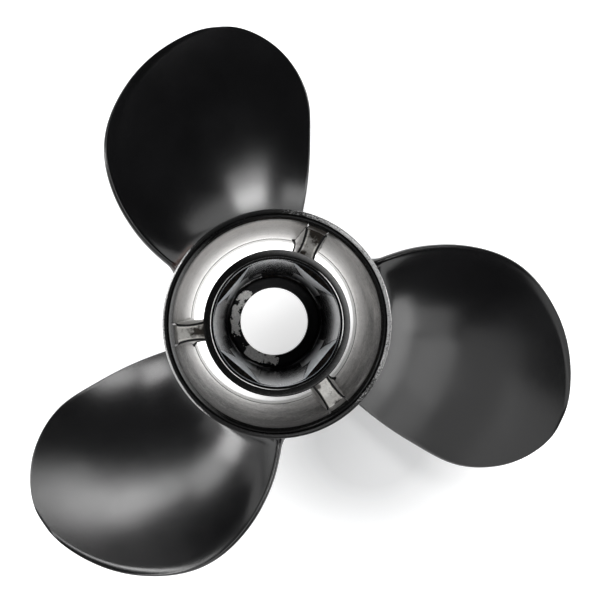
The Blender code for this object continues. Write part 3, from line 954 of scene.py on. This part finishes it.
def oversprayed_wall():
    """The cast wall of the exhaust passages, under a thin warm-grey fog of black paint, with painted
    light: paler at the front end and on the upper-left walls, darker on the lower-left walls.
    """
    look = Look("oversprayed_cast_wall")
    height = look.height()
    fog = look.noise(38, 4, 0.6)
    speckle = look.noise(620, 3, 0.7)
    streaks = look.noise(260, 3, 0.6, (1.0, 1.0, 0.12))
    scratches = look.noise(520, 3, 0.6, (0.18, 0.18, 1.0))
    flecks = look.ramp(look.noise(800, 3, 0.75), 0.56, 0.66, 0.0, 0.75)
    smudged = look.ramp(look.noise(90, 4, 0.65), 0.42, 0.62, 0.25, 1.0)
    cast = look.blend(look.vary(fog), *CASTING_GREYS)
    # Paler towards the front end: painted light from the glowing floor below
    cast = look.blend(look.fall(height, 0.005, 0.020, 0.8), cast, (0.92, 0.91, 0.90))
    cast = look.blend(look.ramp(streaks, 0.52, 0.75, 0.0, 0.3), cast, (0.34, 0.32, 0.30))
    cast = look.blend(look.times(flecks, smudged), cast, (0.13, 0.11, 0.10))
    cast = look.blend(look.ramp(scratches, 0.50, 0.70, 0.0, 0.30), cast, (0.24, 0.22, 0.21))
    thicker_aft = look.ramp(height, 0.040, 0.112, -0.04, 0.46)
    # Darker on the lower-left walls and paler on the upper-left ones: painted light, added to the
    # overspray's cover
    painted_shade_lower_left = look.ramp(look.towards(235), 0.010, 0.054, 0.0, 0.16)
    painted_light_upper_left = look.ramp(look.towards(120), -0.054, 0.054, 0.22, -0.22)
    cover_and_painted_light = look.add(thicker_aft, fog, painted_shade_lower_left, painted_light_upper_left, look.times(speckle, 0.55))
    colour = look.blend(look.ramp(cover_and_painted_light, 0.92, 1.35, 0.0, 0.9), cast, (0.030, 0.029, 0.029))
    colour = look.blend(look.ramp(height, 0.1010, 0.1085, 0.0, 0.9), colour, (0.010, 0.010, 0.010))
    ragged = look.add(look.away_from(WALL_STAIN), look.vary(streaks, -0.003, 0.003))
    soot = look.fall(ragged, 0.006, 0.014, 0.97)
    colour = look.blend(soot, colour, WALL_SOOT)
    rough = look.add(look.vary(speckle, 0.34, 0.50), look.times(soot, 0.5))
    normal = look.bump(look.noise(60, 3, 0.6), 0.0003)
    normal = look.bump(look.noise(900, 3, 0.6), 0.00005, normal)
    return look.finish(colour, rough, normal, metallic=0.2)


def lit_turned_lip():
    """The lip at the passages' front end, turned to bare pale metal, and near white as painted light."""
    look = Look("lit_turned_lip")
    grain = look.noise(1200, 3, 0.6)
    rough = look.vary(grain, 0.4, 0.55)
    return look.finish(look.blend(grain, *LIT_TURNED_METAL), rough, look.bump(grain, 0.00003))


def rim_wear_and_sheen():
    """The rim's outer side: black paint that wears to fine grey grains, with a painted sheen towards the
    right and a painted highlight on the outermost edge towards the left.
    """
    look = Look("rim_wear_and_sheen")
    grain = look.noise(1300, 3, 0.7)
    patches = look.noise(70, 3, 0.6)
    # Painted light: a grey sheen towards the right, and a highlight on the outermost edge towards the
    # left
    side = look.ramp(look.towards(20), 0.005, 0.055, -0.34, 0.20)
    painted_glint = look.ramp(look.towards(185), 0.035, 0.052)
    outmost_glint = look.times(painted_glint, look.ramp(look.radius(), 0.0596, 0.0604, 0.0, 0.85))
    worn_and_lit = look.add(look.add(grain, look.times(patches, 0.4)), look.add(side, outmost_glint))
    mask = look.ramp(worn_and_lit, 0.62, 0.86)
    colour = look.blend(mask, (0.005, 0.005, 0.005), (0.40, 0.40, 0.40))
    rough = look.vary(grain, 0.24, 0.34)
    return look.finish(colour, rough, look.bump(grain, 0.00004), look.times(mask, 0.6), 0.12)


def stain_mask(look, share, across, blotch, stain):
    """A ragged oval on a rib, placed and sized in shares of the rib's length and half width."""
    out, over, reach_out, reach_over, strength = stain
    along = look.math("DIVIDE", look.less(share, out), reach_out)
    side = look.math("DIVIDE", look.less(across, over), reach_over)
    square = look.add(look.math("POWER", along, 2.0), look.math("POWER", side, 2.0))
    ragged = look.add(square, look.vary(blotch, -0.7, 0.7))
    return look.times(look.fall(ragged, 0.35, 1.15), strength)


def cast_rib(name, shade, stains):
    """Light-grey casting with dark edges and brown stains where fumes met it, and painted light: its
    lightness, a pale line inside the face's edges and a pale side face.
    """
    look = Look(name)
    share, across, edge = (look.mark(mark) for mark in RIB_MARKS)
    blotch = look.noise(260, 4, 0.65)
    grain = look.noise(900, 3, 0.7)
    pale, dull = (tuple(shade * part for part in grey) for grey in RIB_GREYS)
    colour = look.blend(look.vary(grain), pale, dull)
    aside = look.math("ABSOLUTE", across)
    # A pale line just inside the aft face's edges: a painted highlight on their rounding
    line = look.times(look.ramp(aside, 0.62, 0.80), look.fall(aside, 0.97, 0.99))
    colour = look.blend(look.times(line, 0.7), colour, (0.80, 0.78, 0.74))
    # The +1 side face made pale: a painted reflection of the bright floor below
    flank_sheen = look.ramp(across, 0.97, 1.0, 0.0, 0.8)
    flank_sheen = look.times(flank_sheen, look.fall(share, 0.92, 0.97))
    colour = look.blend(flank_sheen, colour, (0.88, 0.87, 0.86))
    face = look.most(look.fall(aside, 0.985, 0.999), look.ramp(share, 0.93, 0.96))
    matt = 0.0
    for stain in stains:
        soot = look.times(stain_mask(look, share, across, blotch, stain), face)
        matt = look.most(soot, matt)
        colour = look.blend(soot, colour, RIB_SOOT)
    grime = look.times(look.ramp(look.noise(330, 4, 0.75), 0.55, 0.66, 0.0, 0.6), face)
    colour = look.blend(grime, colour, (0.050, 0.040, 0.030))
    # The rib's edges turn near black
    painted = look.add(edge, look.vary(blotch, -0.25, 0.25))
    colour = look.blend(look.ramp(painted, 0.3, 0.75), colour, (0.010, 0.010, 0.011))
    front = look.fall(look.height(), 0.0175, 0.0190)
    front = look.times(front, look.ramp(across, 0.8, 0.9))
    colour = look.blend(front, colour, (0.006, 0.006, 0.006))
    matt = look.times(look.most(matt, front), 0.5)
    rough = look.add(look.vary(grain, 0.36, 0.5), matt)
    normal = look.bump(look.noise(240, 3, 0.6), 0.00025)
    return look.finish(colour, rough, look.bump(grain, 0.00006, normal), 0.1, 0.2)


def cavity_wall(name, tints, shade, rough, low, high, foot=0.0):
    """The cavity's drafted wall: bluish thin paint with fine streaks, black further in.

    Under the height low it is black and over high it has no black: thinner paint towards the mouth,
    and painted shade further in. Up to the height foot it is black beside the flats too.
    """
    look = Look(name)
    height = look.height()
    fog = look.noise(60, 3, 0.6, ALONG_SHAFT)
    grain = look.noise(1100, 3, 0.7, ALONG_SHAFT)
    streaks = look.noise(420, 3, 0.6, ALONG_SHAFT)
    light = look.blend(look.ramp(streaks, 0.35, 0.7), *tints)
    # Painted shade: the walls towards the upper right are darkened
    side = look.fall(look.towards(225), -0.033, 0.033, shade)
    light = look.blend(side, light, (0.02, 0.022, 0.026))
    # Black further in, and beside the flats' lower ends: partly painted shade of the deep cavity
    depth = look.add(height, look.vary(fog, -0.002, 0.002))
    if foot:
        flats = look.math("COSINE", look.times(look.turn_from(CAVITY_FLAT_ANGLE), 4.0))
        beside = look.fall(flats, 0.25, 0.75, foot)
        beside = look.times(beside, look.fall(height, foot, foot + 0.007))
        depth = look.less(depth, beside)
    colour = look.blend(look.fall(depth, low, high), light, BLUISH_BLACK)
    dull = look.vary(streaks, rough - 0.015, rough + 0.015)
    normal = look.bump(look.noise(120, 2, 0.5, ALONG_SHAFT), 0.00004)
    normal = look.bump(grain, 0.000004, normal)
    return look.finish(colour, look.less(dull, look.times(side, 0.06)), normal)


def cavity_shelf():
    """The shelves outside the cavity's flats, dark with a little brown primer."""
    look = Look("cavity_shelf")
    blotch = look.noise(420, 4, 0.7)
    colour = look.blend(look.ramp(blotch, 0.42, 0.7), (0.002, 0.002, 0.002), (0.010, 0.007, 0.005))
    rough = look.vary(blotch, 0.14, 0.24)
    return look.finish(colour, rough, look.bump(blotch, 0.00006), specular=0.15)


def cavity_floor():
    """The cavity's floor ring: dark paint, with pale patches of rough grey casting that are partly
    painted pools of light.
    """
    look = Look("cavity_floor")
    grain = look.noise(900, 4, 0.7)
    stray = look.vary(look.noise(240, 4, 0.7), -0.0030, 0.0030)
    worn_and_lit = look.add(look.noise(55, 3, 0.6), look.times(grain, 0.3))
    # Pale patches round the floor ring: bare casting with painted pools of light
    for azimuth in FLOOR_LIT_PATCHES:
        spot = FLOOR_PATCH_RADIUS * direction(azimuth, 90) + Vector((0, 0, CAVITY_FLOOR))
        ragged = look.add(look.away_from(spot), stray)
        worn_and_lit = look.most(worn_and_lit, look.fall(ragged, 0.0030, 0.0048, 1.25))
    worn_and_lit = look.less(worn_and_lit, look.ramp(grain, 0.5, 0.66, 0.0, 0.35))
    metal = look.blend(look.ramp(grain, 0.35, 0.65), *LIT_WORN_METAL)
    colour = look.blend(look.ramp(worn_and_lit, 0.86, 0.93), BLUISH_BLACK, metal)
    rough = look.vary(grain, 0.35, 0.6)
    return look.finish(colour, rough, look.bump(look.noise(500, 3, 0.6), 0.0003), specular=0.2)


def mouth_edge_highlight():
    """The mouth's machined edge: black, with a painted highlight on two sides."""
    look = Look("mouth_edge_highlight")
    grain = look.noise(1500, 2, 0.6)
    # A painted highlight on the edge, towards the right and towards the left
    right = look.ramp(look.towards(15), 0.0285, 0.0325)
    left = look.ramp(look.towards(205), 0.008, 0.026)
    painted_glint = look.times(look.most(right, left), look.ramp(grain, 0.3, 0.5, 0.7, 1.0))
    colour = look.blend(painted_glint, DULL_BLACK, (0.97, 0.97, 0.97))
    rough = look.vary(grain, 0.25, 0.35)
    return look.finish(colour, rough, look.bump(grain, 0.00002), 0.1, 0.3)


def black_paint_with_sheen(name, azimuth, reach, radii, grey):
    """Black paint with a painted grey sheen towards one azimuth and towards one of two radii."""
    look = Look(name)
    grain = look.noise(900, 3, 0.7)
    # A painted sheen, greyer towards one azimuth and one radius
    side = look.math("POWER", look.ramp(look.towards(azimuth), *reach), 1.6)
    painted_sheen = look.times(side, look.ramp(look.radius(), *radii))
    painted_sheen = look.times(painted_sheen, look.vary(grain, 0.8, 1.2))
    colour = look.blend(painted_sheen, DULL_BLACK, (grey, grey, grey))
    rough = look.vary(grain, 0.20, 0.30)
    return look.finish(colour, rough, look.bump(grain, 0.00003), specular=0.12)


def pale_floor():
    """White floor that glows most under the passages and in the shaft's hole, with a painted shadow
    beside the hub.
    """
    look = Look("pale_floor")
    out = look.node("ShaderNodeVectorMath", {0: look.place}, operation="LENGTH").outputs["Value"]
    across = look.towards(125)
    passage = look.times(look.ramp(out, 0.028, 0.038), look.fall(out, 0.052, 0.055))
    bright = look.times(look.ramp(across, -0.045, 0.045, 0.2, 1.5), passage)
    # A painted shadow: the glow drops beside the hub towards the lower right
    glow_with_painted_shadow = look.ramp(look.away_from(SHADE_PLACE), 0.035, 0.105, 0.05, 0.75)
    # In the shaft's hole the glow dims towards the lower right, as painted shade
    in_hole = look.ramp(across, -0.020, 0.005, 0.66, 0.85)
    beyond = look.ramp(out, 0.028, 0.034)
    in_hole = look.times(look.less(1.0, beyond), in_hole)
    glow = look.add(look.times(glow_with_painted_shadow, beyond), bright, in_hole)
    white = (1.0, 1.0, 1.0, 1.0)
    fill(look.tree, look.shader, {"Emission Color": white, "Emission Strength": glow})
    colour = look.blend(look.noise(3, 2, 0.5), (0.86, 0.865, 0.87), (0.84, 0.845, 0.85))
    return look.finish(colour, 0.7, specular=0.2)


def build_floor():
    mesh = bpy.data.meshes.new("floor")
    signs = ((-1, -1), (1, -1), (1, 1), (-1, 1))
    corners = [(FLOOR_REACH * x, FLOOR_REACH * y, -FLOOR_DROP) for x, y in signs]
    mesh.from_pydata(corners, [], [(0, 1, 2, 3)])
    mesh.materials.append(pale_floor())
    floor = bpy.data.objects.new("floor", mesh)
    bpy.context.scene.collection.objects.link(floor)


def build_world():
    """A dim room round the panels, seen as a pale backdrop by the camera."""
    world = bpy.data.worlds.new("studio")
    bpy.context.scene.world = world
    world.use_nodes = True
    tree = world.node_tree
    room = tree.nodes["Background"]
    fill(tree, room, {"Color": (0.95, 0.97, 1.0, 1.0), "Strength": 0.03})
    pale = {"Color": (0.96, 0.965, 0.97, 1.0), "Strength": 1.0}
    backdrop = add_node(tree, "ShaderNodeBackground", pale)
    seen = add_node(tree, "ShaderNodeLightPath", {}).outputs["Is Camera Ray"]
    sides = {0: seen, 1: room.outputs[0], 2: backdrop.outputs[0]}
    mix = add_node(tree, "ShaderNodeMixShader", sides)
    fill(tree, tree.nodes["World Output"], {"Surface": mix.outputs[0]})


def add_panel(name, start, end, width, radiance):
    """A soft panel that covers a strip of the studio between two directions, facing its centre."""
    first, last = direction(*start), direction(*end)
    away = (first + last).normalized()
    along = last - first
    along = (along - away * along.dot(away)).normalized()
    light = bpy.data.lights.new(name, "AREA")
    light.shape = "RECTANGLE"
    light.size = 2 * STUDIO_RADIUS * math.tan(first.angle(last) / 2)
    light.size_y = 2 * STUDIO_RADIUS * math.tan(math.radians(width) / 2)
    light.energy = radiance * math.pi * light.size * light.size_y
    lamp = bpy.data.objects.new(name, light)
    bpy.context.scene.collection.objects.link(lamp)
    turn = Matrix((along, away.cross(along), away)).transposed()
    lamp.matrix_world = Matrix.Translation(STUDIO_CENTRE + away * STUDIO_RADIUS) @ turn.to_4x4()
    lamp.visible_camera = False


def build_camera():
    camera = bpy.data.objects.new("camera", bpy.data.cameras.new("camera"))
    bpy.context.scene.collection.objects.link(camera)
    cos_turn, sin_turn = math.cos(CAMERA_TURN), math.sin(CAMERA_TURN)
    cos_nod, sin_nod = math.cos(CAMERA_NOD), math.sin(CAMERA_NOD)
    right = Vector((cos_turn, 0, sin_turn))
    up = Vector((-sin_nod * sin_turn, cos_nod, sin_nod * cos_turn))
    turn = Matrix((right, up, right.cross(up))).transposed()
    camera.matrix_world = Matrix.Translation(CAMERA_PLACE) @ turn.to_4x4()
    camera.data.sensor_width = 36
    camera.data.lens = CAMERA_LENS
    camera.data.shift_x, camera.data.shift_y = CAMERA_SHIFT
    camera.data.clip_start, camera.data.clip_end = 0.01, 50
    bpy.context.scene.camera = camera


def main():
    rim_paint = satin_paint("rim_black_paint", RIM_BLACK, 0.16, 0.00001)
    wall = oversprayed_wall()
    build_barrel(
        {
            "paint": rim_paint,
            "wall": wall,
            "ridge": black_paint_with_sheen("ridge_painted_highlight", 185, (0.030, 0.054), (0.0575, 0.0572), 0.20),
            "band": rim_wear_and_sheen(),
            "lip": lit_turned_lip(),
        }
    )
    build_core(
        {
            "wall": wall,
            "paint": rim_paint,
            "edge": mouth_edge_highlight(),
            "round": cavity_wall("cavity_wall", ROUND_TINTS, 0.95, 0.17, 0.052, 0.100),
            "shelf": cavity_shelf(),
            "floor": cavity_floor(),
            "flat": cavity_wall("cavity_flat", FLAT_TINTS, 0.70, 0.34, 0.012, 0.052, FLAT_FOOT),
            "flat_edge": cavity_wall("cavity_flat_edge_highlight", EDGE_HIGHLIGHT_TINTS, 0.45, 0.34, 0.010, 0.050),
            "ring": black_paint_with_sheen("end_ring_painted_sheen", 30, (-0.004, 0.040), (0.0364, 0.0396), 0.24),
        }
    )
    build_ribs()
    build_blades(satin_paint("satin_black_paint", SATIN_BLACK, 0.18, 0.000007))
    build_floor()
    build_world()
    for panel in PANELS:
        add_panel(*panel)
    build_camera()
    bpy.context.scene.view_settings.view_transform = "Standard"


main()
